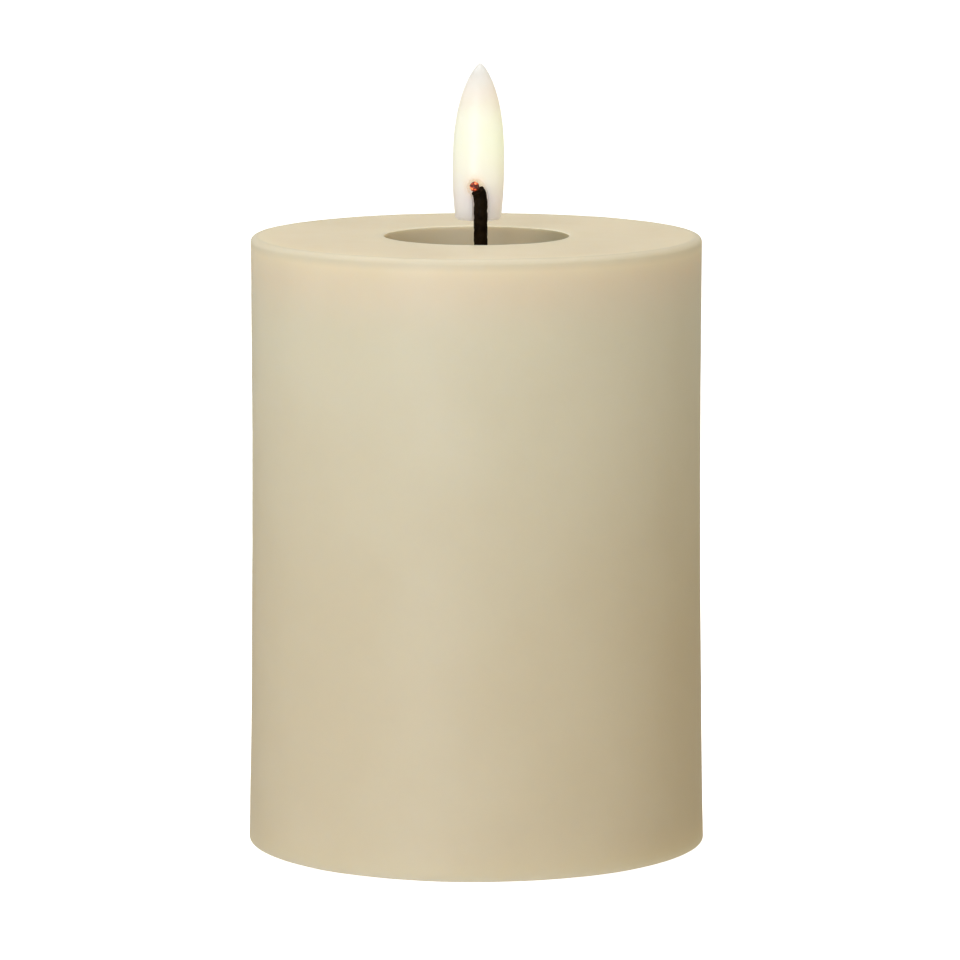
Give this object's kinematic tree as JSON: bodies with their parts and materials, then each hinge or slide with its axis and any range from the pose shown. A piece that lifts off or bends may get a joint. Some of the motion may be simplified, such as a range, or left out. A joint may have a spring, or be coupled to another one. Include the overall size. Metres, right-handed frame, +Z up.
{
  "type": "flameless LED pillar candle",
  "caption": "Flameless pillar candle: a wax shell with a round well, a bent black wick and a translucent flame that light up, on a base with a battery door and a slide switch.",
  "frame": {"origin": "centre of the base, on the surface the candle stands on", "axes": "+Z up along the candle; -Y is the front, where the wick stands in front of the flame; +X is to the right seen from the front"},
  "size_m": [0.075, 0.075, 0.1279],
  "materials": {
    "wax": "cast ivory wax, satin, slightly translucent",
    "well_plastic": "moulded plastic in the wax colour, satin",
    "housing_plastic": "ivory moulded plastic, fine texture",
    "black_plastic": "black moulded plastic",
    "cell_wrap": null,
    "spring_steel": "nickel-plated spring steel",
    "screw_steel": "zinc-plated steel",
    "circuit_board": "green solder mask on glass-fibre board",
    "red_wire": "red insulation",
    "black_wire": "black insulation",
    "wick": "charred-black soft plastic",
    "ember": "clear red-orange, lit from inside",
    "flame": "frosted translucent warm white",
    "emitter": "warm white light emitter"
  },
  "bodies": {
    "candle_body": {"wax_shell": "wax", "well_cup": "well_plastic", "base_plate": "housing_plastic", "battery_bay": "housing_plastic", "support_column": "housing_plastic", "battery_cell_front": "cell_wrap", "battery_cell_rear": "cell_wrap", "contact_positive": "spring_steel", "contact_negative": "spring_steel", "contact_bridge": "spring_steel", "switch_body": "black_plastic", "control_board": "circuit_board", "timer_chip": "black_plastic", "timing_crystal": "spring_steel", "smoothing_capacitor": "black_plastic", "base_screw_front_left": "screw_steel", "base_screw_rear_left": "screw_steel", "base_screw_front_right": "screw_steel", "base_screw_rear_right": "screw_steel", "board_screw_left": "screw_steel", "board_screw_right": "screw_steel", "column_screw_left": "screw_steel", "column_screw_right": "screw_steel", "battery_wire_positive": "red_wire", "battery_wire_negative": "black_wire", "light_lead_positive": "red_wire", "light_lead_negative": "black_wire", "wick_sleeve": "wick", "wick_ember": "ember", "flame_shell": "flame", "flame_plug": "flame", "light_strip": "flame", "light_emitter_lower": "emitter", "light_emitter_upper": "emitter"},
    "battery_door_leaf": {"battery_door": "housing_plastic"},
    "switch_carriage": {"switch_slider": "black_plastic", "switch_knob": "black_plastic"}
  },
  "joints": [
    {"name": "battery_door_hinge", "type": "hinge", "parent": "candle_body", "child": "battery_door_leaf", "pos_m": [0.0256, 0, 0.002], "axis": [0, -1, 0], "range_deg": [0, 95]},
    {"name": "switch_slide", "type": "slide", "parent": "candle_body", "child": "switch_carriage", "axis": [1, 0, 0], "range_m": [0, 0.005]}
  ]
}
